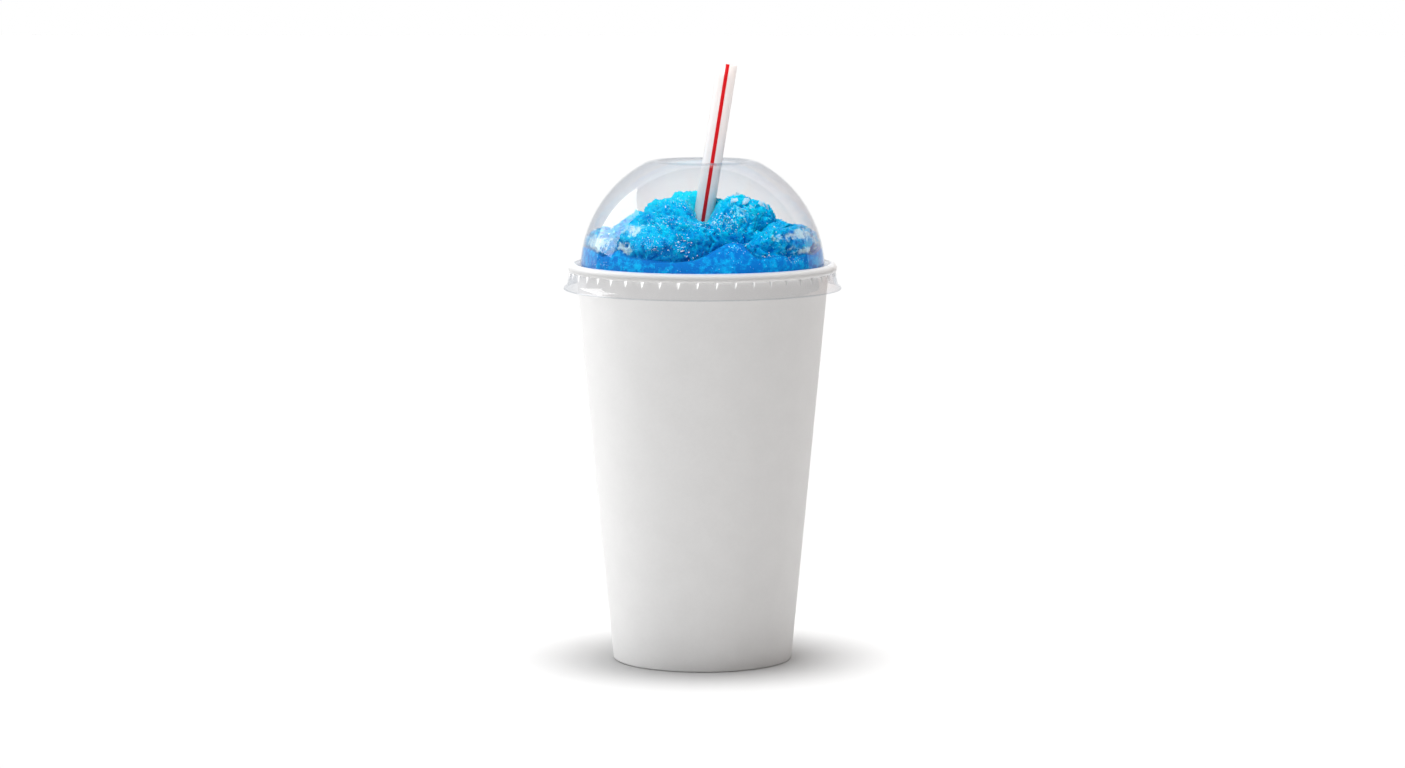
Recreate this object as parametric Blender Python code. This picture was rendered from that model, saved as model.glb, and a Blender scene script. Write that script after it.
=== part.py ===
"""Frozen slush drink: a paper cup, a clear dome lid, blue slush and a striped straw.

Everything is in metres with +Z up. The origin is the centre of the ring that the
cup stands on. -Y is the front. Five separate pieces are modelled:

    cup_wall   tapered paper wall, rolled into a curl at the rim and folded up at the foot
    cup_floor  paper disc set above the table, its edge turned down inside the foot
    dome_lid   clear thermoformed lid, open at the top, snapped over the curl
    slush      everything that fills the cup and is heaped up under the dome
    straw      thin tube, leaning in the slush and through the hole of the lid
"""

from math import asin, atan2, cos, degrees, exp, hypot, pi, radians, sin, sqrt, tan

import bmesh
import bpy
from mathutils import Matrix, Vector

# ---- driving dimensions -------------------------------------------------------------

MILLIMETRE = 0.001
SEGMENTS = 40           # sides of the round pieces
GAP = 0.0003            # clearance between pieces that touch
NEARLY_ZERO = 1e-9      # a radius this small lies on the axis
MERGE = 1e-6            # points this close become one
LATHE_SHARP = 30.0      # edges bent more than this many degrees stay sharp
SLUSH_SHARP = 60.0

# paper cup
CUP_HEIGHT = 0.1352     # table to the top of the curl
RIM_RADIUS = 0.0450     # outside of the curl
FOOT_RADIUS = 0.03045   # outside of the wall at the table
BOARD = 0.0005          # thickness of the paper board
CURL_RADIUS = 0.00125   # outside of the rolled curl, in section
CURL_END = -110.0       # angle in degrees at which the curl's free edge stops
CURL_STEPS = 8
FOLD_RADIUS = 0.00045   # middle of the board where it turns at the foot
FOLD_STEPS = 2
HEM_INSET = 0.0016      # folded-up hem, measured inwards from the wall, middle to middle
HEM_HEIGHT = 0.008
FLOOR_HEIGHT = 0.010    # top of the floor above the table
FLOOR_FOLD = 0.0006     # middle of the board where the floor turns down
FLOOR_FOLD_STEPS = 3
FLOOR_SKIRT_END = 0.0012

# clear lid
SHEET = 0.0003          # thickness of the formed plastic
BEAD_RADIUS = 0.0017    # middle of the sheet where it snaps over the curl
BEAD_TURN = 150.0       # angle in degrees at which the bead goes over into the groove
BEAD_STEPS = 5
GROOVE_RADIUS = 0.00046
GROOVE_STEPS = 3
DOME_RADIUS = 0.0414    # middle of the sheet
DOME_CENTRE = 0.1330    # height of the dome's centre
DOME_START = 0.1357     # heights between which the dome follows its sphere
DOME_END = 0.16975
DOME_STEPS = 7
SKIRT_TOP = 0.1320      # the skirt hangs straight from the bead, then leans out
SKIRT_RADIUS = 0.04545
SKIRT_LOW = 0.1289
SKIRT_LOW_RADIUS = 0.0457
# flared lip from its free edge, and the ring with a dished top that ends at the hole
LIP_POINTS = ((0.0471, 0.1271), (0.0469, 0.1275), (0.0463, 0.1281))
RING_POINTS = ((0.0171, 0.1703), (0.0163, 0.17045), (0.0155, 0.1702), (0.0148, 0.1698),
               (0.0125, 0.1698))
LUG_COUNT = 45
LUG_TOP = 0.1326
LUG_BOTTOM = 0.1307
LUG_WIDTH = 0.0010
LUG_DEPTH = 0.0007
LUG_ROOT = 0.00005      # how far the lug's root lies inside the middle of the sheet
LUG_TURN = -2.2         # the lug nearest the front, in degrees towards -X

# straw
STRAW_RADIUS = 0.00335
STRAW_WALL = 0.00025
STRAW_SIDES = 24
STRAW_FOOT = Vector((-0.0221, -0.0125, 0.0110))
STRAW_HEAD = Vector((0.0085, 0.0040, 0.2027))
CHANNEL_EXTRA = 0.020   # how much longer the cut for the straw is than the straw

# slush: the heap is measured from the dome's centre
CROWN_REACH = 0.0248    # how far the core of the heap reaches straight up
RIM_REACH = 0.0155      # how much further it reaches at the rim
RIM_SPREAD = 16.0       # angle in degrees over which that falls off
HEAP_RINGS = 13
HEAP_EVENNESS = 0.55    # 1 spaces the rings evenly, less crowds them towards the rim
SIDE_HEIGHTS = (0.0103, 0.050, 0.092, 0.1327)
NECK_HEIGHT = 0.1341    # where the slush passes inside the lid's groove
# the hollow where the straw goes in, open to the front
HOLLOW_FLOOR = 0.0160   # its floor at the straw, above the dome's centre
HOLLOW_SLOPE = 0.08     # rise of the floor towards the front
HOLLOW_X = 0.0003
HOLLOW_HALF = 0.0055    # half of its width
HOLLOW_BACK = 0.0020    # how far behind the middle it ends
HOLLOW_FADE = 0.0030    # how gently it ends there

# Lobes of the heap: azimuth (0 is the front, +90 is +X), elevation, half width and
# half height in degrees, then the reach at the lobe's edge and at its middle in mm.
LOBES = (
    (-30, 20, 36, 16, 33.0, 41.0),
    (-28, 42, 34, 20, 27.0, 31.0),
    (-64, 12, 20, 8, 35.0, 41.4),
    (-92, 12, 22, 9, 33.0, 39.6),
    (-84, 29, 32, 14, 27.0, 31.0),
    (-78, 49, 42, 13, 25.5, 28.6),
    (22, 10, 18, 9, 33.0, 42.5),
    (20, 38, 34, 18, 28.0, 32.8),
    (60, 17, 30, 11, 32.0, 40.6),
    (93, 13, 22, 9, 34.0, 39.4),
    (86, 25, 28, 12, 28.0, 32.6),
    (80, 44, 32, 12, 26.5, 31.2),
    (68, 57, 34, 10, 25.5, 29.6),
    (-110, 71, 60, 15, 24.5, 27.2),
    (-140, 15, 36, 12, 30.0, 37.0),
    (178, 14, 34, 11, 31.0, 38.0),
    (136, 15, 30, 11, 31.0, 37.6),
    (150, 44, 44, 20, 24.5, 27.6),
    (-150, 44, 40, 20, 24.5, 27.2),
)


# ---- profiles -----------------------------------------------------------------------

def arc(centre, radius, start, end, steps):
    """Points of an arc in the (radius, height) plane; angles in degrees from outwards."""
    points = []
    for step in range(steps + 1):
        angle = radians(start + (end - start) * step / steps)
        points.append((centre[0] + radius * cos(angle), centre[1] + radius * sin(angle)))
    return points


def unit(start, end):
    length = hypot(end[0] - start[0], end[1] - start[1])
    return (end[0] - start[0]) / length, (end[1] - start[1]) / length


def offset_line(points, distance):
    """The polyline moved sideways by distance, with mitred corners."""
    moved = []
    for index, point in enumerate(points):
        before = unit(points[max(index - 1, 0)], points[max(index, 1)])
        last = len(points) - 1
        after = unit(points[min(index, last - 1)], points[min(index + 1, last)])
        normal = (-before[1] - after[1], before[0] + after[0])
        size = hypot(*normal)
        normal = (normal[0] / size, normal[1] / size)
        mitre = distance / (normal[0] * -before[1] + normal[1] * before[0])
        moved.append((point[0] + normal[0] * mitre, point[1] + normal[1] * mitre))
    return moved


def sheet_outline(middle, thickness):
    """Closed outline of a sheet of the given thickness round its middle line."""
    return offset_line(middle, thickness / 2) + offset_line(middle, -thickness / 2)[::-1]


def curl_centre():
    return RIM_RADIUS - CURL_RADIUS, CUP_HEIGHT - CURL_RADIUS


def wall_line():
    """Foot point and top tangent point of the wall's middle line, and its lean."""
    centre = curl_centre()
    roll = CURL_RADIUS - BOARD / 2
    foot = (FOOT_RADIUS - BOARD / 2, 0.0)
    reach = hypot(centre[0] - foot[0], centre[1] - foot[1])
    lean = atan2(centre[1] - foot[1], centre[0] - foot[0]) + asin(roll / reach)
    length = sqrt(reach ** 2 - roll ** 2)
    top = (foot[0] + length * cos(lean), foot[1] + length * sin(lean))
    return foot, top, lean


def wall_radius(height, inset=0.0):
    """Radius of the wall's middle line at a height, less an inset."""
    foot, top, lean = wall_line()
    return foot[0] + height / tan(lean) - inset


def cup_wall_middle():
    """Curl, wall, folded foot and hem as one strip of board, from the curl's free edge."""
    foot, top, lean = wall_line()
    start = degrees(lean) + 90.0
    curl = arc(curl_centre(), CURL_RADIUS - BOARD / 2, CURL_END, start, CURL_STEPS)
    level = BOARD / 2 + FOLD_RADIUS
    outer = (wall_radius(level, FOLD_RADIUS), level)
    inner = (wall_radius(level, HEM_INSET - FOLD_RADIUS), level)
    fold = arc(outer, FOLD_RADIUS, 0.0, -90.0, FOLD_STEPS)
    fold += arc(inner, FOLD_RADIUS, -90.0, -180.0, FOLD_STEPS)
    hem = [(wall_radius(HEM_HEIGHT, HEM_INSET), HEM_HEIGHT)]
    return curl + fold + hem


def cup_floor_outline():
    """Disc with its edge turned down, as a closed outline that runs to the axis."""
    level = FLOOR_HEIGHT - BOARD / 2
    inset = HEM_INSET / 2
    corner = (wall_radius(level - FLOOR_FOLD, inset + FLOOR_FOLD), level - FLOOR_FOLD)
    fold = arc(corner, FLOOR_FOLD, 90.0, 0.0, FLOOR_FOLD_STEPS)
    skirt_end = [(wall_radius(FLOOR_SKIRT_END, inset), FLOOR_SKIRT_END)]
    return sheet_outline([(0.0, level)] + fold + skirt_end, BOARD)


def dome_lid_middle():
    """Lip, skirt, bead, groove, dome, ring and dish, from the lip to the hole."""
    skirt = [(SKIRT_LOW_RADIUS, SKIRT_LOW), (SKIRT_RADIUS, SKIRT_TOP)]
    bead = arc(curl_centre(), BEAD_RADIUS, 0.0, BEAD_TURN, BEAD_STEPS)
    turn = radians(BEAD_TURN)
    away = BEAD_RADIUS + GROOVE_RADIUS
    centre = curl_centre()
    groove = (centre[0] + away * cos(turn), centre[1] + away * sin(turn))
    fillet = arc(groove, GROOVE_RADIUS, BEAD_TURN - 180.0, -180.0, GROOVE_STEPS)
    low = asin((DOME_START - DOME_CENTRE) / DOME_RADIUS)
    high = asin((DOME_END - DOME_CENTRE) / DOME_RADIUS)
    dome = arc((0.0, DOME_CENTRE), DOME_RADIUS, degrees(low), degrees(high), DOME_STEPS)
    return [*LIP_POINTS, *skirt, *bead, *fillet[1:], *dome, *RING_POINTS]


# ---- slush --------------------------------------------------------------------------

def heap_reach(azimuth, elevation):
    """Distance from the dome's centre to the heap's surface; angles in degrees."""
    reach = CROWN_REACH + RIM_REACH * exp(-(elevation / RIM_SPREAD) ** 2)
    for lobe_azimuth, lobe_elevation, width, height, edge, middle in LOBES:
        turn = (azimuth - lobe_azimuth + 180.0) % 360.0 - 180.0
        across = turn * cos(radians(elevation)) / (width * cos(radians(lobe_elevation)))
        away = across ** 2 + ((elevation - lobe_elevation) / height) ** 2
        if away < 1.0:
            lobe = edge + (middle - edge) * sqrt(1.0 - away)
            reach = max(reach, lobe * MILLIMETRE)
    return min(in_hollow(reach, azimuth, elevation), neck_radius())


def in_hollow(reach, azimuth, elevation):
    """The reach cut down to the floor of the hollow in front of the straw."""
    turn, lift = radians(azimuth), radians(elevation)
    x = reach * cos(lift) * sin(turn)
    front = reach * cos(lift) * cos(turn)
    rise = sin(lift) - HOLLOW_SLOPE * cos(lift) * cos(turn)
    if rise * reach <= HOLLOW_FLOOR:
        return reach
    share = exp(-((x - HOLLOW_X) / HOLLOW_HALF) ** 4)
    share *= min(max((front + HOLLOW_BACK) / HOLLOW_FADE, 0.0), 1.0)
    return reach - share * (reach - HOLLOW_FLOOR / rise)


def neck_radius():
    """The slush just clears the inside of the dome."""
    return DOME_RADIUS - SHEET / 2 - GAP


def ring_point(radius, turn, height):
    """Point at a turn in degrees from +X."""
    return radius * cos(radians(turn)), radius * sin(radians(turn)), height


def slush_rings():
    """Rings of points from the floor up the wall and over the heap, bottom first."""
    turns = [360.0 * side / SEGMENTS for side in range(SEGMENTS)]
    rings = []
    for height in SIDE_HEIGHTS:
        radius = wall_radius(height, BOARD / 2 + GAP)
        rings.append([ring_point(radius, turn, height) for turn in turns])
    low = degrees(asin((NECK_HEIGHT - DOME_CENTRE) / neck_radius()))
    for ring in range(HEAP_RINGS):
        share = ring / HEAP_RINGS
        share = HEAP_EVENNESS * share + (1.0 - HEAP_EVENNESS) * share ** 2
        elevation = low + (90.0 - low) * share
        across = cos(radians(elevation))
        up = sin(radians(elevation))
        reaches = [heap_reach(turn + 90.0, elevation) for turn in turns]
        rings.append([ring_point(reach * across, turn, DOME_CENTRE + reach * up)
                      for reach, turn in zip(reaches, turns)])
    return rings


# ---- making objects -----------------------------------------------------------------

def finish_material(name, colour, roughness, alpha=1.0, transmission=0.0):
    material = bpy.data.materials.new(name)
    material.use_nodes = True
    shader = material.node_tree.nodes["Principled BSDF"]
    shader.inputs["Base Color"].default_value = (*colour, 1.0)
    shader.inputs["Roughness"].default_value = roughness
    shader.inputs["Metallic"].default_value = 0.0
    shader.inputs["Alpha"].default_value = alpha
    shader.inputs["Transmission Weight"].default_value = transmission
    return material


def add_object(name, mesh_data, material, smooth_angle=LATHE_SHARP):
    """Turn a bmesh into an object with outward faces, shaded smooth over soft edges."""
    bmesh.ops.recalc_face_normals(mesh_data, faces=mesh_data.faces)
    mesh = bpy.data.meshes.new(name)
    mesh_data.to_mesh(mesh)
    mesh_data.free()
    mesh.shade_smooth()
    mesh.set_sharp_from_angle(angle=radians(smooth_angle))
    mesh.materials.append(material)
    thing = bpy.data.objects.new(name, mesh)
    bpy.context.collection.objects.link(thing)
    return thing


def lathe(name, outline, material):
    """Spin a closed (radius, height) outline once round the Z axis."""
    mesh_data = bmesh.new()
    corners = [mesh_data.verts.new((radius, 0.0, height)) for radius, height in outline]
    edges = []
    for index, corner in enumerate(corners):
        following = corners[(index + 1) % len(corners)]
        on_axis = corner.co.x < NEARLY_ZERO and following.co.x < NEARLY_ZERO
        if not on_axis:
            edges.append(mesh_data.edges.new((corner, following)))
    bmesh.ops.spin(mesh_data, geom=corners + edges, cent=(0, 0, 0), axis=(0, 0, 1),
                   angle=2 * pi, steps=SEGMENTS, use_merge=True)
    bmesh.ops.remove_doubles(mesh_data, verts=mesh_data.verts, dist=MERGE)
    return add_object(name, mesh_data, material)


def skin_rings(name, rings, top_point, bottom_point, material):
    """Closed body through rings of points, capped by fans to two middle points."""
    mesh_data = bmesh.new()
    rows = [[mesh_data.verts.new(point) for point in ring] for ring in rings]
    count = len(rows[0])
    for low, high in zip(rows, rows[1:]):
        for index in range(count):
            after = (index + 1) % count
            mesh_data.faces.new((low[index], low[after], high[after], high[index]))
    for row, point in ((rows[0], bottom_point), (rows[-1], top_point)):
        middle = mesh_data.verts.new(point)
        for index in range(count):
            mesh_data.faces.new((row[index], row[(index + 1) % count], middle))
    return add_object(name, mesh_data, material, smooth_angle=SLUSH_SHARP)


def as_cutter(thing):
    thing.hide_render = True
    thing.display_type = "WIRE"


def combine(thing, tool, operation):
    modifier = thing.modifiers.new(operation.lower(), "BOOLEAN")
    modifier.operation = operation
    modifier.solver = "EXACT"
    modifier.object = tool


def straw_axis():
    return (STRAW_HEAD - STRAW_FOOT).normalized()


def aim(thing, point):
    """Stand a piece that was modelled along +Z on the straw's line at a point."""
    turn = Vector((0, 0, 1)).rotation_difference(straw_axis())
    thing.matrix_world = Matrix.Translation(point) @ turn.to_matrix().to_4x4()


# ---- the pieces ---------------------------------------------------------------------

def make_cup_wall(material):
    return lathe("cup_wall", sheet_outline(cup_wall_middle(), BOARD), material)


def make_cup_floor(material):
    return lathe("cup_floor", cup_floor_outline(), material)


def make_lugs(material):
    """Small pointed lugs pressed inwards from the skirt, which hold the lid on the curl."""
    mesh_data = bmesh.new()
    spread = (SKIRT_LOW_RADIUS - SKIRT_RADIUS) / (SKIRT_TOP - SKIRT_LOW)
    root = SKIRT_RADIUS - LUG_ROOT
    low_root = root + (SKIRT_TOP - LUG_BOTTOM) * spread
    for index in range(LUG_COUNT):
        turn = Matrix.Rotation(radians(LUG_TURN - 90.0) + 2 * pi * index / LUG_COUNT, 3, "Z")
        corners = [(root, -LUG_WIDTH / 2, LUG_TOP), (root, LUG_WIDTH / 2, LUG_TOP)]
        corners += [(root - LUG_DEPTH, 0.0, LUG_TOP), (low_root, 0.0, LUG_BOTTOM)]
        verts = [mesh_data.verts.new(turn @ Vector(corner)) for corner in corners]
        for face in ((0, 1, 2), (0, 3, 1), (1, 3, 2), (2, 3, 0)):
            mesh_data.faces.new([verts[corner] for corner in face])
    lugs = add_object("lugs", mesh_data, material)
    as_cutter(lugs)
    return lugs


def make_dome_lid(material):
    lid = lathe("dome_lid", sheet_outline(dome_lid_middle(), SHEET), material)
    combine(lid, make_lugs(material), "UNION")
    return lid


def make_straw(material):
    """A tube with its lower end on the floor and its upper end cut square."""
    mesh_data = bmesh.new()
    length = (STRAW_HEAD - STRAW_FOOT).length
    rings = []
    for radius, height in ((STRAW_RADIUS, 0.0), (STRAW_RADIUS, length),
                           (STRAW_RADIUS - STRAW_WALL, length), (STRAW_RADIUS - STRAW_WALL, 0.0)):
        ring = bmesh.ops.create_circle(mesh_data, segments=STRAW_SIDES, radius=radius)["verts"]
        bmesh.ops.translate(mesh_data, verts=ring, vec=(0, 0, height))
        rings.append(ring)
    for index, ring in enumerate(rings):
        following = rings[(index + 1) % len(rings)]
        for side in range(STRAW_SIDES):
            after = (side + 1) % STRAW_SIDES
            mesh_data.faces.new((ring[side], ring[after], following[after], following[side]))
    straw = add_object("straw", mesh_data, material)
    aim(straw, STRAW_FOOT)
    return straw


def make_straw_channel(material):
    """The space that the straw takes out of the slush."""
    mesh_data = bmesh.new()
    length = (STRAW_HEAD - STRAW_FOOT).length + CHANNEL_EXTRA
    radius = (STRAW_RADIUS + GAP) / cos(pi / STRAW_SIDES)
    bmesh.ops.create_cone(mesh_data, cap_ends=True, segments=STRAW_SIDES, radius1=radius,
                          radius2=radius, depth=length)
    channel = add_object("straw_channel", mesh_data, material)
    aim(channel, (STRAW_FOOT + STRAW_HEAD) / 2)
    as_cutter(channel)
    return channel


def make_slush(material):
    crown = (0.0, 0.0, DOME_CENTRE + heap_reach(0.0, 90.0))
    slush = skin_rings("slush", slush_rings(), crown, (0.0, 0.0, SIDE_HEIGHTS[0]), material)
    combine(slush, make_straw_channel(material), "DIFFERENCE")
    return slush


def main():
    for thing in list(bpy.data.objects):
        bpy.data.objects.remove(thing, do_unlink=True)
    paper = finish_material("paper_white", (0.86, 0.86, 0.85), 0.55)
    clear = finish_material("clear_lid", (0.95, 0.97, 1.0), 0.05, alpha=0.35, transmission=0.9)
    blue = finish_material("slush_blue", (0.0, 0.22, 0.72), 0.25)
    white = finish_material("straw_white", (0.85, 0.82, 0.80), 0.3)
    make_cup_wall(paper)
    make_cup_floor(paper)
    make_dome_lid(clear)
    make_slush(blue)
    make_straw(white)


main()
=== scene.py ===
"""Looks of a frozen slush drink: paper cup, clear dome lid, blue slush, striped straw."""

from math import asin, atan2, cos, degrees, hypot, pi, radians, sin, sqrt, tan

import bmesh
import bpy
import numpy as np
from mathutils import Matrix, Vector, noise


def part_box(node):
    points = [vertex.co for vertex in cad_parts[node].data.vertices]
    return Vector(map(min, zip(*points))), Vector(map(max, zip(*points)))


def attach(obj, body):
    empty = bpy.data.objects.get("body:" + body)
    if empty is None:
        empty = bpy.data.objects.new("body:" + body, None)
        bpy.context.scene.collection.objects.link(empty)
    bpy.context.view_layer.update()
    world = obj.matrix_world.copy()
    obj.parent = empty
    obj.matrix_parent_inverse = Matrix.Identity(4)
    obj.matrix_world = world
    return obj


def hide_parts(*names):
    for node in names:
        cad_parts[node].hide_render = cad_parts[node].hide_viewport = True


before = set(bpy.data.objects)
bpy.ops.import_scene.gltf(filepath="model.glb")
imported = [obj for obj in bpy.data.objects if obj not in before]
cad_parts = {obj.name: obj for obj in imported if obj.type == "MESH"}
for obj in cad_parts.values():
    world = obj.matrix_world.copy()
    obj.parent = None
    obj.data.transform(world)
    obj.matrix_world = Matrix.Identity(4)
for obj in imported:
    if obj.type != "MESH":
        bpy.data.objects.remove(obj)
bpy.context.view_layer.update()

# Lengths are in metres unless a comment says mm; +Z is up and -Y is the front. An
# azimuth is in degrees, 0 at the front and 90 at +X; an elevation is in degrees above
# the level of the dome's centre.
MM = 0.001

wall_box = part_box("cup_wall")
straw_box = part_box("straw")

# paper cup
CUP_HEIGHT = wall_box[1][2]
RIM_RADIUS = wall_box[1][0]
FOOT_RADIUS = 30.45 * MM
BOARD = 0.5 * MM
CURL_RADIUS = 1.25 * MM
CURL_END = -110.0
CURL_CENTRE = (RIM_RADIUS - CURL_RADIUS, CUP_HEIGHT - CURL_RADIUS)
FOLD_RADIUS = 0.45 * MM
HEM_INSET = 1.6 * MM
HEM_HEIGHT = 8.0 * MM
WALL_STRETCH = 3.0 * MM
CUP_SIDES = 360

# disc at the bottom of the cup; its pressed ring is (radius in mm, share of the depth)
FLOOR_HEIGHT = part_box("cup_floor")[1][2]
FLOOR_FOLD = 0.6 * MM
FLOOR_SKIRT_END = 1.2 * MM
FLOOR_MIDDLE = 0.05 * MM
FLOOR_RING_DEPTH = 0.35 * MM
FLOOR_RING = ((20.0, 0.0), (20.8, 0.3), (21.6, 1.0), (23.0, 1.0), (23.8, 0.3), (24.6, 0.0))

# lap of the wall at the back: a step out of SEAM_LIFT that fades away beyond the lap
SEAM_AZIMUTH = 168.0
SEAM_WIDTH = 7.0 * MM
SEAM_LIFT = 0.28 * MM
SEAM_EDGE = 0.2 * MM
SEAM_FADE = (2.6, 1.0)
SEAM_TOP = (2.2 * MM, 4.0 * MM)
SEAM_SKIN = (1.0 * MM, 0.5 * MM)
SEAM_AZIMUTHS = (-0.3, -0.15, 0.15, 0.3, 0.45)

# clear lid
SHEET = 0.3 * MM
BEAD_RADIUS = 1.7 * MM
BEAD_START = -36.0
BEAD_TURN = 150.0
GROOVE_RADIUS = 0.46 * MM
DOME_RADIUS = 41.4 * MM
DOME_CENTRE = 133.0 * MM
DOME_START = 135.7 * MM
DOME_END = 169.75 * MM
# (radius, height) in mm: flared lip from its free edge up the skirt to the crease below
# the bead, then the raised ring at the top with the dish inside it
SKIRT_LINE = ((47.08, 127.12), (46.9, 127.45), (46.35, 128.0), (45.9, 128.6), (45.66, 129.4),
              (45.38, 131.0), (45.18, 132.2), (45.1, 132.75))
SKIRT_STRETCH = 0.17 * MM
RING_LINE = ((17.1, 170.3), (16.3, 170.45), (15.5, 170.2), (14.8, 169.8), (12.5, 169.8))

# lugs below the bead; lengths in mm
LUG_COUNT = 45
LUG_TURN = -2.2
LUG_TOP = 133.0
LUG_BOTTOM = 130.6
LUG_WIDTH = 1.4
LUG_HOLLOW = 0.4
LUG_DEPTH = 0.7
LUG_SHARP = 1.0

# straw
STRAW_RADIUS = 3.35 * MM
STRAW_WALL = 0.25 * MM
STRAW_LIP = 0.08 * MM
STRAW_LEAN_STEPS = 20
STRAW_OUTER_RINGS = 40
STRAW_INNER_RINGS = 10
STRAW_SHARP = 50.0
STRIPE_WIDTH = 1.25 * MM

# Smooth shape of the slush, as reach in mm from the dome's centre: a crown with a rim,
# blended with the scoops.
CROWN_REACH = 24.8
RIM_REACH = 15.5
RIM_SPREAD = 16.0
SCOOP_FALL = 9.0
BLEND = 0.7
# where the slush is pressed on the inside of the dome, in mm
PRESSED = (DOME_RADIUS - SHEET / 2) / MM + 0.05

# Rows of points of the slush: heights in mm at the cup's wall with the gap left there,
# the (radius, height) inside the rim, then the height in mm where the heap starts and
# the elevations of its rows up to the crown.
SLUSH_SIDES = 600
SIDE_HEIGHTS = (10.2, 50.0, 92.0, 124.0, 130.5)
SIDE_GAP = 0.05 * MM
SIDE_TOP = (41.25 * MM, 132.9 * MM)
HEAP_START = 134.05
ROW_STEP = 0.52
CROWN_START = 56.0
CROWN_END = 89.0
CROWN_ROWS = 28

# The hollow in front of the straw, in mm: its floor above the dome's centre at the
# straw, the rise of the floor towards the front, the place of its middle, half its
# width, and from where to where it fades away behind.
HOLLOW_HEIGHT = 16.0
HOLLOW_SLOPE = 0.08
HOLLOW_X = 0.3
HOLLOW_HALF = 4.4
HOLLOW_FADE = (2.0, -1.0)
HOLLOW_LEAST_SLOPE = 0.05

# Scoops of the heap: azimuth, elevation, half width and half height in degrees, then
# the reach at the scoop's edge and at its middle in mm.
SCOOPS = (
    (-30, 20, 36, 16, 33.0, 42.0),
    (-28, 42, 34, 20, 27.0, 31.0),
    (-64, 14, 20, 10, 35.0, 42.2),
    (-92, 14, 22, 11, 33.0, 41.4),
    (-84, 29, 32, 14, 27.0, 31.0),
    (-78, 49, 42, 13, 25.5, 28.6),
    (22, 10, 18, 9, 33.0, 42.5),
    (20, 38, 34, 18, 28.0, 32.8),
    (60, 17, 30, 11, 32.0, 42.0),
    (93, 13, 22, 9, 34.0, 40.8),
    (86, 25, 28, 12, 28.0, 32.6),
    (80, 44, 32, 12, 26.5, 31.2),
    (68, 57, 34, 10, 25.5, 29.6),
    (-110, 71, 60, 15, 24.5, 27.2),
    (-140, 15, 36, 12, 30.0, 40.0),
    (178, 14, 34, 11, 31.0, 41.0),
    (136, 15, 30, 11, 31.0, 40.6),
    (150, 44, 44, 20, 24.5, 27.6),
    (-150, 44, 40, 20, 24.5, 27.2),
)

# Where the loose scoops end and the smooth slush pressed on the plastic begins:
# azimuth and elevation.
TIDE_LINE = (
    (-180, 11.0), (-152, 10.0), (-128, 12.0), (-104, 10.6), (-90, 12.0), (-74, 12.6),
    (-67, 12.4), (-61, 10.8), (-54, 9.4), (-48, 11.4), (-44, 13.2), (-39, 10.8),
    (-31, 9.8), (-20, 8.8), (-13, 9.0), (-6, 9.5), (-1, 10.9), (4, 13.2), (8, 15.6),
    (12.5, 17.9), (16, 18.3), (20, 17.3), (22.5, 14.4), (26.5, 10.4), (31, 10.2),
    (37, 10.9), (44, 10.3), (46, 8.0), (50, 10.1), (56, 10.6), (66, 9.9), (81, 12.0),
    (104, 10.4), (126, 12.2), (152, 10.2), (180, 11.0),
)

# Waves that bend the scoops and the tide line: size and shift in mm, then how far they
# bend in degrees; the drift's turn grows no further above its highest elevation.
DRIFT_SIZE = 9.0
DRIFT_TURN = 3.5
DRIFT_HIGHEST = 75.0
SWIRL_SIZE = 8.0
SWIRL_SHIFT = 50.0
SWIRL_LIFT = 3.0
SWIRL_TIDE = 0.5

# Relief of the loose slush, all in mm but the last: rounded lumps with their size, how
# far they are warped, the size and shift of that warp, height, share of the painted light
LUMPS = (
    (4.6, 1.5, 5.0, 0.0, 0.4, 0.2),
    (2.1, 0.7, 2.5, 9.0, 0.4, 0.25),
    (1.05, 0.0, 1.0, 0.0, 0.4, 0.2),
)
# crests with their size, mean value, height and share of the painted light
CREST_SIZE = 3.6
CREST_MEAN = 1.1
CREST_HEIGHT = 0.9
CREST_LIGHT = 0.2
# broken facets with their seed, their size, shift and height, and their share of the
# painted light, which makes raised facets lighter
ICE_SEED = 8
SHARDS = ((2.6, 0.0, 1.6), (1.2, 30.0, 1.1))
SHARD_LIGHT = 0.25

# Across the tide line, from degrees below it to degrees above it: the slush comes loose,
# the pressed slush turns in under it by mm, and a crease in mm runs along it.
LOOSE_FROM, LOOSE_TO = -0.4, 1.4
TUCK_FROM, TUCK_TO = -1.0, 0.3
TUCK_SPARE = 0.5
TUCK_FALL = 0.8
DULL_FROM, DULL_TO = -0.6, 0.6
CREASE_PLACE = 0.15
CREASE_HALF = 0.75
CREASE_DEPTH = 0.12
CREASE_WAVE = 0.2

# Painted light and shade of the slush: its middle value and the elevation where that is,
# the rise for each degree above, as higher slush is painted lighter, the waves, and the
# painted shade in the crease and in the shaded patches
LIGHT_MIDDLE = 0.42
LIGHT_ELEVATION = 20.0
LIGHT_RISE = 0.009
LIGHT_WAVE = 0.25
CREASE_SHADE = 0.4
PAINTED_PATCH_SHADE = 0.3

# Patches of the heap: azimuth, elevation, widths across and up in degrees, strength.
# Where the slush is full of air and looks frosty:
FROST = (
    (-42, 14, 8, 4, 0.9), (-38, 23, 9, 4, 0.8), (-64, 15, 13, 6, 1.0),
    (-54, 24, 9, 6, 0.35), (56, 20, 18, 3.5, 0.9), (76, 17, 9, 6, 1.0),
    (62, 12, 14, 2, 0.9), (34, 40, 6, 10, 0.6), (50, 14, 8, 3, 0.5),
    (-100, 18, 14, 6, 0.8), (150, 16, 16, 6, 0.9), (-20, 62, 30, 8, 0.4),
    (-150, 18, 14, 6, 0.7), (112, 18, 12, 5, 0.7), (180, 36, 20, 8, 0.6),
)
FROST_WAVE = 0.08
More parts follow.
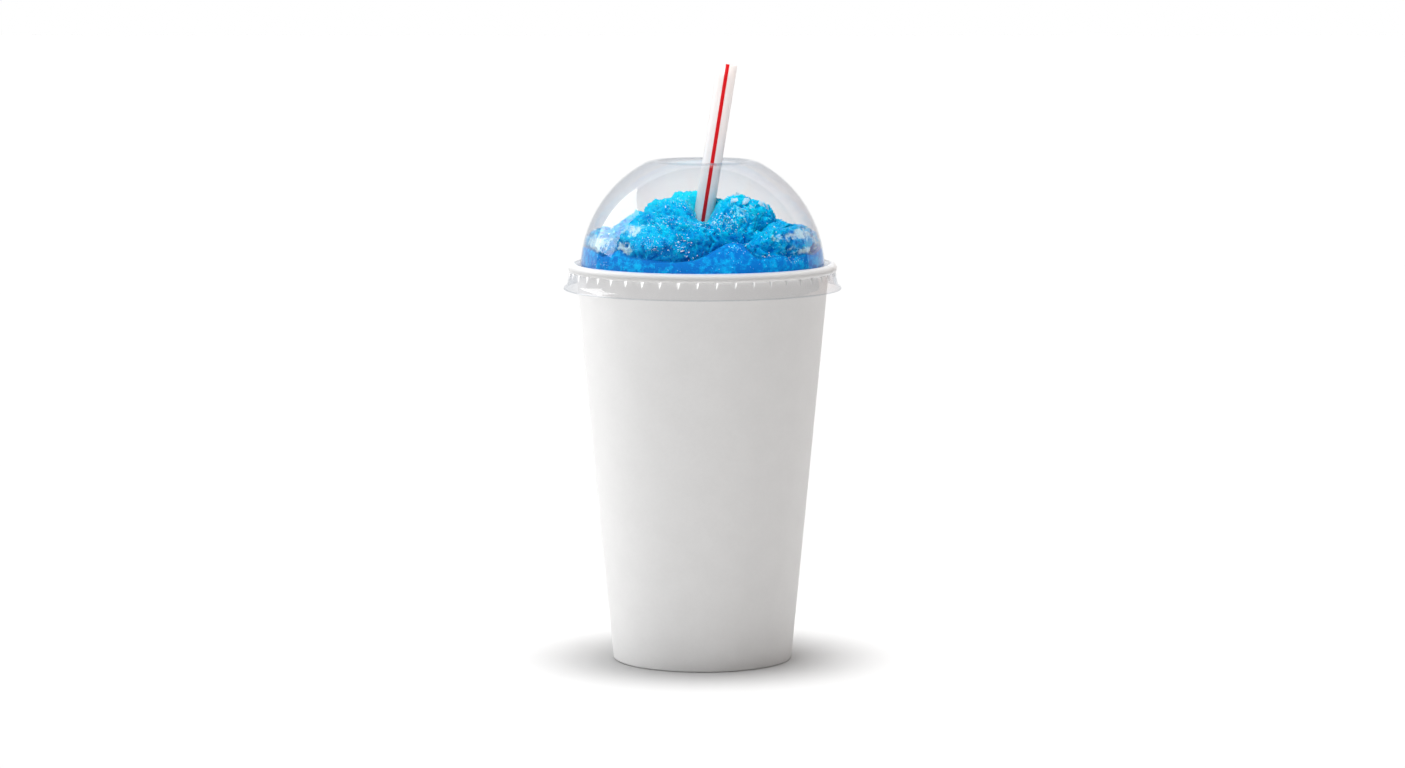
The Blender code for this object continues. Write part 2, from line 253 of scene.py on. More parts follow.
# Where painted shade makes the syrup's colour darker:
SHADED = ((20, 15, 14, 5, 1.0), (40, 17, 10, 4, 0.6), (0, 20, 8, 5, 0.4))
# Where white specks are painted in, partly grains of white ice and partly painted glints:
SPARKLE = (
    (15, 36, 20, 7, 1.0), (0, 34, 12, 7, 0.9), (26, 42, 10, 8, 0.9),
    (17, 16, 9, 3, 0.5), (-24, 17, 12, 5, 0.7), (-60, 6, 14, 2.5, 0.9),
    (46, 9, 10, 3, 0.7), (-20, 30, 20, 8, 0.6), (70, 26, 20, 8, 0.5),
    (-30, 55, 30, 10, 0.8), (140, 30, 40, 14, 0.9), (-140, 30, 40, 14, 0.9),
    (180, 55, 60, 20, 0.7),
)
SPARKLE_WAVE = 0.3
# Where splinters of ice lie; they are near white, partly grains of ice and partly painted
# glints:
GLINTS = (
    (-26, 17, 5, 2.5, 1.0), (-11, 18, 6, 5, 0.8), (-20, 27, 8, 4, 0.35),
    (-7, 12, 5, 1.5, 0.6), (48, 9.5, 5, 1.5, 0.9), (34, 11, 5, 1.5, 0.6),
    (17, 17, 7, 1.5, 0.8), (-56, 6, 8, 1.5, 0.5), (-42, 11, 5, 1.5, 0.5),
    (20, 37, 12, 6, 0.35), (1, 33, 6, 4, 0.3), (30, 22, 5, 3, 0.3),
    (-39, 18, 6, 5, 0.4), (70, 22, 14, 4, 0.4), (130, 22, 40, 8, 0.35),
    (-130, 22, 40, 8, 0.35), (180, 40, 60, 14, 0.25), (0, 60, 180, 14, 0.12),
)
# Where the larger clear pieces lie:
CHUNK_PATCHES = ((62, 60, 26, 9, 1.0),)

# Loose ice: how many pieces, least and greatest size in mm, seed, share sunk in the slush
GLITTER = {"count": 900, "sizes": (0.4, 1.5), "seed": 11, "sink": 0.2}
GLITTER_ELSEWHERE = 0.01
GLITTER_PRESSED_LOSS = 0.7
CHUNKS = {"count": 24, "sizes": (2.6, 5.0), "seed": 5, "sink": 0.1}
CORNERS_OF_A_SPLINTER = 9
SPLINTER_STRETCH = ((0.8, 1.3), (0.5, 0.9), (0.3, 0.7))

# colours
WHITE = (1.0, 1.0, 1.0)
PAPER = (0.865, 0.862, 0.858), (0.895, 0.892, 0.888)
SHEET_TINTS = (0.972, 0.970, 0.971), (0.70, 0.73, 0.77)
BEAD_WHITE = (0.97, 0.965, 0.955)
# opaque white of the lugs, a painted highlight for the glints of their clear facets
LUG_WHITE = (0.97, 0.97, 0.97)
# syrup colours from deep to light; the slush's painted light and shade picks a colour along
# them
SYRUP = (
    (0.0, (0.0, 0.18, 0.60)),
    (0.3, (0.0, 0.38, 0.81)),
    (0.6, (0.0, 0.56, 0.88)),
    (1.0, (0.01, 0.70, 0.90)),
)
FROSTY_BLUE = (0.66, 0.86, 0.94)
# white of the painted glints in the slush's colour, partly grains of white ice
PAINTED_GLINT_WHITE = (0.85, 0.97, 1.0)
ICE_WHITE = (0.95, 0.98, 1.0)
ICE_GLOW = (0.9, 0.97, 1.0)
# near white, so that the glitter splinters are partly painted glints
GLITTER_WHITE = (0.93, 0.98, 1.0)
CHUNK_BLUE = (0.50, 0.82, 0.95)
STRAW_WHITE = (0.97, 0.96, 0.95)
STRAW_RED = (0.80, 0.012, 0.02)
TABLE_WHITE = (0.77, 0.77, 0.77)
WARM_WALL = (1.0, 0.80, 0.70)
WARM_STRAW = (1.0, 0.87, 0.80)
WARM_PAPER = (1.0, 0.88, 0.80)

# parts of the lid that look different, from nothing to all: the cloudy bead by height and
# radius, and the free edge of the lip by height, tinted darker as painted shade
MILKY_HEIGHT = (132.6 * MM, 133.2 * MM)
MILKY_RADIUS = (43.5 * MM, 43.9 * MM)
LIP_HEIGHT = (127.6 * MM, 127.2 * MM)

# camera; the tilt is in degrees below level
CAMERA_DISTANCE = 1.46318
CAMERA_HEIGHT = 0.26476
CAMERA_TILT = 6.649
CAMERA_LENS = 110.73
CAMERA_SENSOR = 36.0

# table and room: the room's light falls off to the right, and a bright wall behind the
# object begins at these degrees from straight behind
TABLE_SIZE = 6.0
TABLE_GAP = 0.05 * MM
SIDE_LIGHT = 0.11
SIDE_LIGHT_FALL = 0.10
SIDE_MIRROR_LOSS = 0.8
WALL_EDGE = (61.6, 60.4)
WALL_LIGHT = 0.4
WALL_MIRROR_GAIN = 0.6
WARM_SIDE = (0.0, 0.8)


# ---- profiles -----------------------------------------------------------------------

def arc(centre, radius, start, end, steps):
    """Points of an arc in the (radius, height) plane; angles in degrees from outwards."""
    angles = [radians(start + (end - start) * step / steps) for step in range(steps + 1)]
    return [(centre[0] + radius * cos(a), centre[1] + radius * sin(a)) for a in angles]


def unit(start, end):
    """Direction from one point to another in the (radius, height) plane."""
    length = hypot(end[0] - start[0], end[1] - start[1])
    return (end[0] - start[0]) / length, (end[1] - start[1]) / length


def offset_line(points, distance):
    """The polyline moved sideways by distance, with mitred corners."""
    moved = []
    last = len(points) - 1
    for index, point in enumerate(points):
        before = unit(points[max(index - 1, 0)], points[max(index, 1)])
        after = unit(points[min(index, last - 1)], points[min(index + 1, last)])
        normal = (-before[1] - after[1], before[0] + after[0])
        size = hypot(*normal)
        normal = (normal[0] / size, normal[1] / size)
        mitre = distance / (normal[0] * -before[1] + normal[1] * before[0])
        moved.append((point[0] + normal[0] * mitre, point[1] + normal[1] * mitre))
    return moved


def sheet_outline(middle, thickness):
    """Closed outline of a sheet round its middle line, with rounded free ends."""
    outline = []
    for line in (middle, middle[::-1]):
        outline += offset_line(line, thickness / 2)
        heading = unit(line[-2], line[-1])
        start = degrees(atan2(heading[1], heading[0])) + 90.0
        outline += arc(line[-1], thickness / 2, start, start - 180.0, 4)[1:-1]
    return outline


def smooth_line(points, steps):
    """A smooth curve through the points, with steps stretches between neighbours."""
    line = [Vector(point) for point in points]
    line = [2 * line[0] - line[1], *line, 2 * line[-1] - line[-2]]
    curve = []
    for p0, p1, p2, p3 in zip(line, line[1:], line[2:], line[3:]):
        for step in range(steps):
            t = step / steps
            bend = 2 * p1 + (p2 - p0) * t + (2 * p0 - 5 * p1 + 4 * p2 - p3) * t ** 2
            curve.append(tuple((bend + (3 * p1 - p0 - 3 * p2 + p3) * t ** 3) / 2))
    return curve + [tuple(line[-2])]


def divided(line, length):
    """The polyline with its stretches cut to at most a length."""
    points = [line[0]]
    for start, end in zip(line, line[1:]):
        count = max(1, round(hypot(end[0] - start[0], end[1] - start[1]) / length))
        for step in range(1, count + 1):
            share = step / count
            points.append((start[0] + (end[0] - start[0]) * share,
                           start[1] + (end[1] - start[1]) * share))
    return points


def wall_line():
    """Foot point of the wall's middle line and its lean."""
    roll = CURL_RADIUS - BOARD / 2
    foot = (FOOT_RADIUS - BOARD / 2, 0.0)
    across = CURL_CENTRE[0] - foot[0]
    up = CURL_CENTRE[1] - foot[1]
    return foot, atan2(up, across) + asin(roll / hypot(across, up))


def wall_radius(height, inset=0.0):
    """Radius of the wall's middle line at a height, less an inset."""
    foot, lean = wall_line()
    return foot[0] + height / tan(lean) - inset


def cup_wall_middle():
    """Curl, wall, folded foot and hem as one strip of board."""
    lean = wall_line()[1]
    curl = arc(CURL_CENTRE, CURL_RADIUS - BOARD / 2, CURL_END, degrees(lean) + 90.0, 26)
    level = BOARD / 2 + FOLD_RADIUS
    outer = (wall_radius(level, FOLD_RADIUS), level)
    inner = (wall_radius(level, HEM_INSET - FOLD_RADIUS), level)
    fold = arc(outer, FOLD_RADIUS, 0.0, -90.0, 6)
    wall = divided([curl[-1], fold[0]], WALL_STRETCH)[1:-1]
    hem = arc(inner, FOLD_RADIUS, -90.0, -180.0, 6)
    hem += [(wall_radius(HEM_HEIGHT, HEM_INSET), HEM_HEIGHT)]
    return curl + wall + fold + hem


def cup_floor_middle():
    """Disc with a pressed ring and its edge turned down, from the axis outwards."""
    level = FLOOR_HEIGHT - BOARD / 2
    inset = HEM_INSET / 2
    corner = (wall_radius(level - FLOOR_FOLD, inset + FLOOR_FOLD), level - FLOOR_FOLD)
    ring = [(radius * MM, level - share * FLOOR_RING_DEPTH) for radius, share in FLOOR_RING]
    fold = arc(corner, FLOOR_FOLD, 90.0, 0.0, 8)
    skirt_end = [(wall_radius(FLOOR_SKIRT_END, inset), FLOOR_SKIRT_END)]
    return [(FLOOR_MIDDLE, level), *ring, *fold, *skirt_end]


def dome_lid_middle():
    """Lip, skirt, bead, groove, dome, ring and dish, from the lip to the hole."""
    skirt = smooth_line([(radius * MM, height * MM) for radius, height in SKIRT_LINE], 6)
    skirt = divided(skirt, SKIRT_STRETCH)
    bead = arc(CURL_CENTRE, BEAD_RADIUS, BEAD_START, BEAD_TURN, 24)
    turn = radians(BEAD_TURN)
    away = BEAD_RADIUS + GROOVE_RADIUS
    groove = (CURL_CENTRE[0] + away * cos(turn), CURL_CENTRE[1] + away * sin(turn))
    fillet = arc(groove, GROOVE_RADIUS, BEAD_TURN - 180.0, -180.0, 7)
    low = degrees(asin((DOME_START - DOME_CENTRE) / DOME_RADIUS))
    high = degrees(asin((DOME_END - DOME_CENTRE) / DOME_RADIUS))
    dome = arc((0.0, DOME_CENTRE), DOME_RADIUS, low, high, 40)
    ring = smooth_line([(radius * MM, height * MM) for radius, height in RING_LINE], 3)
    return [*skirt, *bead, *fillet[1:], *dome, *ring]


# ---- meshes -------------------------------------------------------------------------

def add_object(name, mesh, material):
    """An object of a finished mesh, in the scene."""
    mesh.materials.append(material)
    thing = bpy.data.objects.new(name, mesh)
    bpy.context.collection.objects.link(thing)
    return thing


def add_mesh(name, points, faces, material, smooth_angle=None):
    """A smooth body of points and faces, sharp where faces meet at more than an angle."""
    mesh = bpy.data.meshes.new(name)
    mesh.from_pydata(points, [], faces)
    mesh.validate()
    mesh_data = bmesh.new()
    mesh_data.from_mesh(mesh)
    bmesh.ops.recalc_face_normals(mesh_data, faces=mesh_data.faces)
    mesh_data.to_mesh(mesh)
    mesh_data.free()
    mesh.shade_smooth()
    if smooth_angle is not None:
        mesh.set_sharp_from_angle(angle=radians(smooth_angle))
    return add_object(name, mesh, material)


def skin(name, rows, material, loop=True, caps=(None, None), smooth_angle=None):
    """Closed body through rows of points that each run once round; (rows, sides, 3).

    With loop the last row joins the first, otherwise the two caps close the ends.
    """
    count, sides = rows.shape[:2]
    number = np.arange(count * sides).reshape(count, sides)
    low = number if loop else number[:-1]
    high = np.roll(number, -1, axis=0) if loop else number[1:]
    quads = np.stack([low, np.roll(low, -1, 1), np.roll(high, -1, 1), high], axis=-1)
    faces = quads.reshape(-1, 4).tolist()
    points = rows.reshape(-1, 3).tolist()
    for ring, cap in ((number[0], caps[0]), (number[-1], caps[1])):
        if cap is not None:
            following = np.roll(ring, -1)
            faces += [[a, b, len(points)] for a, b in zip(ring.tolist(), following.tolist())]
            points.append(tuple(cap))
    return add_mesh(name, points, faces, material, smooth_angle)


def paint(thing, name, values):
    """Keep a value at each point of the mesh for its finish to use."""
    layer = thing.data.attributes.new(name, "FLOAT", "POINT")
    layer.data.foreach_set("value", np.asarray(values, dtype=np.float32))


def spun_rows(outline, azimuths, press=None):
    """Rows of points of an outline spun round Z; press gives how far a point moves in."""
    radius, height = np.array(outline).T[:, :, None]
    turn = np.radians(np.asarray(azimuths))[None, :]
    if press is not None:
        radius = radius - press(radius, height, np.degrees(turn))
    height = height + 0.0 * turn
    return np.stack([radius * np.sin(turn), -radius * np.cos(turn), height], axis=-1)


def wrapped(angle):
    """The angle in degrees brought to between -180 and 180."""
    return (angle + 180.0) % 360.0 - 180.0


def smooth_step(low, high, value):
    """0 at low, 1 at high and smooth between; low may be the greater."""
    share = np.clip((value - low) / (high - low), 0.0, 1.0)
    return share * share * (3.0 - 2.0 * share)


# ---- shader nodes -------------------------------------------------------------------

class Value:
    """A socket of a node tree that takes part in sums."""

    def __init__(self, nodes, socket):
        self.nodes = nodes
        self.socket = socket

    def sum(self, operation, first, second):
        """What a math node makes of two numbers or values."""
        return self.nodes.add("ShaderNodeMath", {"operation": operation},
                              {0: first, 1: second})

    def __add__(self, other):
        return self.sum("ADD", self, other)

    def __radd__(self, other):
        return self.sum("ADD", other, self)

    def __sub__(self, other):
        return self.sum("SUBTRACT", self, other)

    def __rsub__(self, other):
        return self.sum("SUBTRACT", other, self)

    def __mul__(self, other):
        return self.sum("MULTIPLY", self, other)

    def __pow__(self, other):
        return self.sum("POWER", self, other)


class Nodes:
    """A node tree, with one method for any node and short names for common ones."""

    def __init__(self, tree):
        self.tree = tree
        tree.nodes.clear()

    def add(self, kind, settings=None, inputs=None, output=0):
        """A new node; an input is a number, a colour or a value of another node."""
        node = self.tree.nodes.new(kind)
        for name, setting in (settings or {}).items():
            if name == "stops":
                ramp = node.color_ramp
                for place, _ in setting[1:-1]:
                    ramp.elements.new(place)
                for element, (place, shade) in zip(ramp.elements, setting):
                    element.position = place
                    element.color = (*shade, 1.0)
            else:
                setattr(node, name, setting)
        for name, value in (inputs or {}).items():
            if isinstance(value, Value):
                self.tree.links.new(value.socket, node.inputs[name])
            else:
                node.inputs[name].default_value = value
        return Value(self, node.outputs[output])

    def place(self):
        """Where on the object, in metres."""
        return self.add("ShaderNodeTexCoord", output="Object")

    def part(self, vector, axis):
        """X, Y or Z of a vector."""
        return self.add("ShaderNodeSeparateXYZ", None, {"Vector": vector}, output=axis)

    def attribute(self, name):
        """What was painted on the mesh."""
        return self.add("ShaderNodeAttribute", {"attribute_name": name}, output="Fac")

    def grain(self, scale, detail, roughness=0.5):
        """Soft noise from 0 to 1, with about scale lumps in a metre."""
        return self.add("ShaderNodeTexNoise", {"noise_dimensions": "3D"},
                        {"Vector": self.place(), "Scale": scale, "Detail": detail,
                         "Roughness": roughness})

    def cells(self, scale):
        """Distance to the nearest of scattered points, about scale points in a metre."""
        return self.add("ShaderNodeTexVoronoi", {"feature": "F1"},
                        {"Vector": self.place(), "Scale": scale})

    def step(self, value, low, high):
        """0 below low, 1 above high, smooth between."""
        return self.add("ShaderNodeMapRange", {"interpolation_type": "SMOOTHSTEP"},
                        {"Value": value, "From Min": low, "From Max": high})

    def blend(self, share, first, second):
        """Colour between two colours."""
        return self.add("ShaderNodeMix", {"data_type": "RGBA"},
                        {0: share, 6: colour(first), 7: colour(second)}, output=2)

    def bump(self, height, distance, strength):
        """A normal tilted by a height that spans a distance in metres."""
        return self.add("ShaderNodeBump", None,
                        {"Height": height, "Distance": distance, "Strength": strength})

    def mixed(self, share, first, second):
        """Two shaders, with the share of the second."""
        return self.add("ShaderNodeMixShader", None, {0: share, 1: first, 2: second})


def colour(value):
    """What a colour socket takes, from a value of a node or from red, green and blue."""
    return value if isinstance(value, Value) else (*value, 1.0)


def finish(name):
    """A new material and its empty node tree."""
    material = bpy.data.materials.new(name)
    material.use_nodes = True
    return material, Nodes(material.node_tree)


def surface(nodes, shader, kind="ShaderNodeOutputMaterial"):
    """Shows the shader, as the last step of a material or of the world."""
    nodes.tree.links.new(shader.socket, nodes.tree.nodes.new(kind).inputs["Surface"])


def paper_board():
    """Matt white board with a thin coating: faint fibres and mottling."""
    material, nodes = finish("paper_board")
    fibres = nodes.grain(900.0, 5.0, 0.65)
    mottle = nodes.grain(120.0, 3.0)
    shade = nodes.step(mottle * 0.5 + fibres * 0.5, 0.3, 0.7)
    shader = nodes.add("ShaderNodeBsdfPrincipled", None, {
        "Base Color": nodes.blend(shade, *PAPER),
        "Roughness": nodes.add("ShaderNodeMapRange", None,
                               {"Value": fibres, "To Min": 0.42, "To Max": 0.62}),
        "Specular IOR Level": 0.4,
        "Normal": nodes.bump(fibres + mottle * 2.0, 0.03 * MM, 0.5),
    })
    surface(nodes, shader)
    return material


def clear_sheet():
    """Thin clear plastic: lets light straight through, mirrors more when seen edge-on.

    The bead is cloudy and a little duller than the dome; the lip's free edge is tinted
    darker as painted shade.
    """
    material, nodes = finish("clear_sheet")
    height = nodes.part(nodes.place(), "Z")
    flat = nodes.add("ShaderNodeVectorMath", {"operation": "MULTIPLY"},
                     {0: nodes.place(), 1: (1.0, 1.0, 0.0)})
    radius = nodes.add("ShaderNodeVectorMath", {"operation": "LENGTH"}, {0: flat}, output=1)
    bead = nodes.step(height, *MILKY_HEIGHT) * nodes.step(radius, *MILKY_RADIUS)
    # painted shade: the lip's free edge is tinted darker
    lip = nodes.step(height, *LIP_HEIGHT)
    facing = nodes.add("ShaderNodeLayerWeight", None, {"Blend": 0.5}, output="Facing")
    mirror = facing ** 5.0 * 0.75 + 0.03
    tint = nodes.blend(facing ** 3.0 + lip * 0.35, *SHEET_TINTS)
    through = nodes.add("ShaderNodeBsdfTransparent", None, {"Color": tint})
    gloss = nodes.add("ShaderNodeBsdfGlossy", None, {
        "Color": colour(WHITE),
        "Roughness": bead * 0.3 + 0.04,
        "Normal": nodes.bump(nodes.grain(160.0, 2.0), 0.02 * MM, 0.4),
    })
    cloudy = nodes.add("ShaderNodeBsdfDiffuse", None, {"Color": colour(BEAD_WHITE)})
    sheet = nodes.mixed(mirror, through, gloss)
    surface(nodes, nodes.mixed(bead * 0.5, sheet, cloudy))
    return material


def painted_lug_highlight():
    """Opaque white for the lugs: a painted highlight that stands in for the glints of their
    clear facets.
    """
    material, nodes = finish("painted_lug_highlight")
    surface(nodes, nodes.add("ShaderNodeBsdfPrincipled", None, {
        "Base Color": colour(LUG_WHITE), "Roughness": 0.2, "Specular IOR Level": 0.6}))
    return material


def slush_ice():
    """Wet crushed ice in blue syrup, frosty where it is full of air, with painted light and
    shade in its colour and white specks that are partly painted glints.
    """
    material, nodes = finish("slush_ice")
    frost = nodes.attribute("frost")
    light = nodes.attribute("light")
    pressed = nodes.attribute("pressed")
    sparkle = nodes.attribute("sparkle")
    cloud = nodes.grain(230.0, 5.0, 0.62)
    veins = nodes.grain(620.0, 4.0, 0.7)
    grit = nodes.grain(2600.0, 1.0, 0.6)
    noise_mean = 1.28
    # painted light and shade: the heap's painted light, with random tone, picks the syrup's
    # colour
    level = (light * 0.8 + cloud * 0.8 + veins * 1.2 + grit * 0.5 - noise_mean
             - pressed * 0.12)
    syrup = nodes.add("ShaderNodeValToRGB", {"stops": SYRUP}, {"Fac": level})
    wisps = frost + (cloud - 0.5) * 1.1 + (veins - 0.5) * 1.6
    frosty = nodes.blend(nodes.step(wisps, 0.4, 0.9) * 0.85, syrup, FROSTY_BLUE)
    # white specks: painted glints, partly grains of white ice
    painted_glint = nodes.step(grit + sparkle * 0.16 + (veins - 0.5) * 0.25, 0.77, 0.81)
    shader = nodes.add("ShaderNodeBsdfPrincipled", None, {
        "Base Color": nodes.blend(painted_glint, frosty, PAINTED_GLINT_WHITE),
        "Roughness": 0.16 + pressed * 0.5,
        "Specular IOR Level": 0.14,
        "Subsurface Weight": 0.12,
        "Subsurface Radius": (0.1, 0.6, 1.0),
        "Subsurface Scale": 0.9 * MM,
        "Normal": nodes.bump((veins + grit * 0.5) * (1.0 - pressed * 0.75), 1.3 * MM, 0.9),
    })
    surface(nodes, shader)
    return material


def clear_ice(name, base, alpha):
    """Small pieces of nearly clear ice."""
    material, nodes = finish(name)
    cloud = nodes.grain(700.0, 4.0)
    shader = nodes.add("ShaderNodeBsdfPrincipled", None, {
        "Base Color": nodes.blend(cloud, base, ICE_WHITE),
        "Roughness": 0.12,
        "Specular IOR Level": 0.6,
        "Alpha": nodes.step(cloud, 0.2, 0.9) * 0.4 + alpha,
        "Normal": nodes.bump(nodes.cells(1500.0), 0.1 * MM, 0.4),
    })
    glow = nodes.add("ShaderNodeBsdfTranslucent", None, {"Color": colour(ICE_GLOW)})
    surface(nodes, nodes.mixed(0.4, shader, glow))
    return material


def straw_plastic(name, base):
    """Thin drawn tube that lets some light through its wall."""
    material, nodes = finish(name)
    lines = nodes.grain(1400.0, 2.0)
    shader = nodes.add("ShaderNodeBsdfPrincipled", None, {
        "Base Color": nodes.blend(lines, base, tuple(0.96 * part for part in base)),
        "Roughness": 0.28,
        "Specular IOR Level": 0.5,
        "Coat Weight": 0.2,
        "Coat Roughness": 0.15,
        "Normal": nodes.bump(lines, 0.02 * MM, 0.5),
    })
    glow = nodes.add("ShaderNodeBsdfTranslucent", None, {"Color": colour(base)})
    clear = nodes.add("ShaderNodeBsdfTransparent", None, {"Color": colour(base)})
    surface(nodes, nodes.mixed(0.15, nodes.mixed(0.45, shader, glow), clear))
    return material


# ---- cup ----------------------------------------------------------------------------

def seam_lift(radius, height, azimuth):
    """How far the lapped wall is moved in at a point, so less than nothing at the lap."""
    along = wrapped(azimuth - SEAM_AZIMUTH) * pi / 180.0 * radius
    lift = smooth_step(-SEAM_EDGE, SEAM_EDGE, along)
    lift = lift * smooth_step(*SEAM_FADE, along / SEAM_WIDTH)
    below_curl = smooth_step(CUP_HEIGHT - SEAM_TOP[0], CUP_HEIGHT - SEAM_TOP[1], height)
    foot = wall_radius(0.0)
    outside = smooth_step(foot - SEAM_SKIN[0], foot - SEAM_SKIN[1], radius)
    return -SEAM_LIFT * lift * below_curl * outside


def cup_azimuths():
    """Even azimuths with closer ones at the edge of the seam."""
    even = np.arange(CUP_SIDES) * 360.0 / CUP_SIDES - 180.0
    return np.unique(np.concatenate([even, SEAM_AZIMUTH + np.array(SEAM_AZIMUTHS)]))


def make_cup(board):
    """The wall with its curl and hem, and the disc at the bottom."""
    outline = sheet_outline(cup_wall_middle(), BOARD)
    wall = skin("paper_wall", spun_rows(outline, cup_azimuths(), seam_lift), board)
    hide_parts("cup_wall")
    outline = sheet_outline(cup_floor_middle(), BOARD)
    floor = skin("paper_floor", spun_rows(outline, cup_azimuths()[::2]), board)
    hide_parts("cup_floor")
    return wall, floor


# ---- lid ----------------------------------------------------------------------------

def skirt_radius(height):
    """Outside of the skirt at a height, in mm."""
    radii, heights = zip(*SKIRT_LINE)
    return float(np.interp(height, heights, radii)) + SHEET / MM / 2


def make_lugs(lug_highlight_paint):
    """Small pointed lugs pressed in below the bead, painted white as a painted highlight;
    each is hollow towards the outside.
    """
    points = []
    faces = []
    for lug in range(LUG_COUNT):
        turn = Matrix.Rotation(radians(LUG_TURN + 360.0 / LUG_COUNT * lug - 90.0), 3, "Z")
        top = skirt_radius(LUG_TOP)
        corners = ((top, -LUG_WIDTH / 2, LUG_TOP), (top, LUG_WIDTH / 2, LUG_TOP),
                   (skirt_radius(LUG_BOTTOM), 0.0, LUG_BOTTOM),
                   (top - LUG_HOLLOW, 0.0, LUG_TOP), (top - LUG_DEPTH, 0.0, LUG_TOP))
        first = len(points)
        points += [turn @ Vector(corner) * MM for corner in corners]
        faces += [[first + corner for corner in face] for face in
                  ((0, 2, 3), (3, 2, 1), (0, 4, 2), (4, 1, 2), (0, 3, 4), (3, 1, 4))]
    return add_mesh("lid_lugs", points, faces, lug_highlight_paint, smooth_angle=LUG_SHARP)


def make_lid(sheet):
    """The whole clear lid but for its lugs."""
    outline = sheet_outline(dome_lid_middle(), SHEET)
    lid = skin("clear_dome", spun_rows(outline, cup_azimuths()), sheet)
    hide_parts("dome_lid")
    return lid


# ---- slush --------------------------------------------------------------------------

def heap_reach(azimuth, elevation):
    """Distance in mm from the dome's centre to the smooth shape of the heap."""
    reach = CROWN_REACH + RIM_REACH * np.exp(-(elevation / RIM_SPREAD) ** 2)
    for middle, height, half_width, half_height, edge, peak in SCOOPS:
        turn = wrapped(azimuth - middle) * np.cos(np.radians(elevation))
        across = turn / (half_width * cos(radians(height)))
        away = across ** 2 + ((elevation - height) / half_height) ** 2
        scoop = edge + (peak - edge) * np.sqrt(np.clip(1.0 - away, 0.0, 1.0))
        scoop = scoop - SCOOP_FALL * np.maximum(away - 1.0, 0.0)
        reach = BLEND * np.logaddexp(reach / BLEND, scoop / BLEND)
    return reach


def hollow_limit(reach, azimuth, elevation):
    """The reach cut down to the hollow where the straw goes in, open to the front."""
    turn, lift = np.radians(azimuth), np.radians(elevation)
    x = reach * np.cos(lift) * np.sin(turn)
    y = -reach * np.cos(lift) * np.cos(turn)
    level = np.sin(lift) - HOLLOW_SLOPE * np.cos(lift) * np.cos(turn)
    limit = HOLLOW_HEIGHT / np.maximum(level, HOLLOW_LEAST_SLOPE)
    share = np.exp(-((x - HOLLOW_X) / HOLLOW_HALF) ** 4) * smooth_step(*HOLLOW_FADE, y)
    return reach - share * np.maximum(reach - limit, 0.0)


def on_sphere(reach, azimuth, elevation):
    """Points in mm at a reach from the dome's centre."""
    turn = np.radians(azimuth)
    lift = np.radians(elevation)
    flat = reach * np.cos(lift)
    up = DOME_CENTRE / MM + reach * np.sin(lift)
    return np.stack([flat * np.sin(turn), -flat * np.cos(turn), up], axis=-1)


def sampled(points, measure):
    """The measure at each of a block of points."""
    flat = [measure(Vector(point)) for point in points.reshape(-1, 3)]
    return np.array(flat).reshape(points.shape[:-1])


def clouds(points, size):
    """Soft noise with lumps of a size in mm, from about -1 to 1."""
    return sampled(points / size, lambda p: noise.fractal(p, 0.9, 2.0, 3))


def pebbles(points, size):
    """Rounded lumps of a size in mm with creases between, about -0.4 to 0.6."""
    return sampled(points / size, lambda p: 0.6 - noise.voronoi(p)[0][0])


def crests(points, size):
    """Sharp ridges of a size in mm, about as far above nothing as below it."""
    ridges = sampled(points / size,
                     lambda p: noise.ridged_multi_fractal(p, 1.0, 2.1, 3, 1.0, 2.0))
    return ridges - CREST_MEAN


def splinters(points, size):
    """Flat facets of broken ice of a size in mm, each tilted its own way."""
    def facet(point):
        middle = noise.voronoi(point)[1][0]
        return (point - middle).dot(noise.noise_vector(middle * 5.3))
    return sampled(points / size, facet)


def patch_share(azimuth, elevation, patches):
    """How much a place belongs to any of the soft patches of a table."""
    share = 0.0 * azimuth
    for middle, height, width, tall, strength in patches:
        away = (wrapped(azimuth - middle) / width) ** 2 + ((elevation - height) / tall) ** 2
        share = np.maximum(share, strength * np.exp(-away))
    return share


def heap_grid():
    """Azimuths and elevations of the heap's rows of points."""
    low = degrees(asin((HEAP_START - DOME_CENTRE / MM) / PRESSED))
    lower = np.arange(low, CROWN_START, ROW_STEP)
    upper = np.linspace(CROWN_START, CROWN_END, CROWN_ROWS)
    around = np.arange(SLUSH_SIDES) * 360.0 / SLUSH_SIDES - 180.0
    return np.meshgrid(around, np.concatenate([lower, upper]))


def ice_relief(points):
    """Height in mm of the relief of torn ice, and the painted light that makes its raised
    parts brighter.
    """
    relief = 0.0
    bright = 0.0
    for size, warp, warp_size, shift, height, share in LUMPS:
        bent = points
        if warp:
            bent = points + warp * clouds(points + shift, warp_size)[..., None]
        lumps = pebbles(bent, size)
        relief = relief + height * lumps
        bright = bright + share * lumps
    ridges = crests(points, CREST_SIZE)
    shards = sum(height * splinters(points + shift, size) for size, shift, height in SHARDS)
    relief = relief + CREST_HEIGHT * ridges + shards
    return relief, bright + SHARD_LIGHT * shards + CREST_LIGHT * ridges


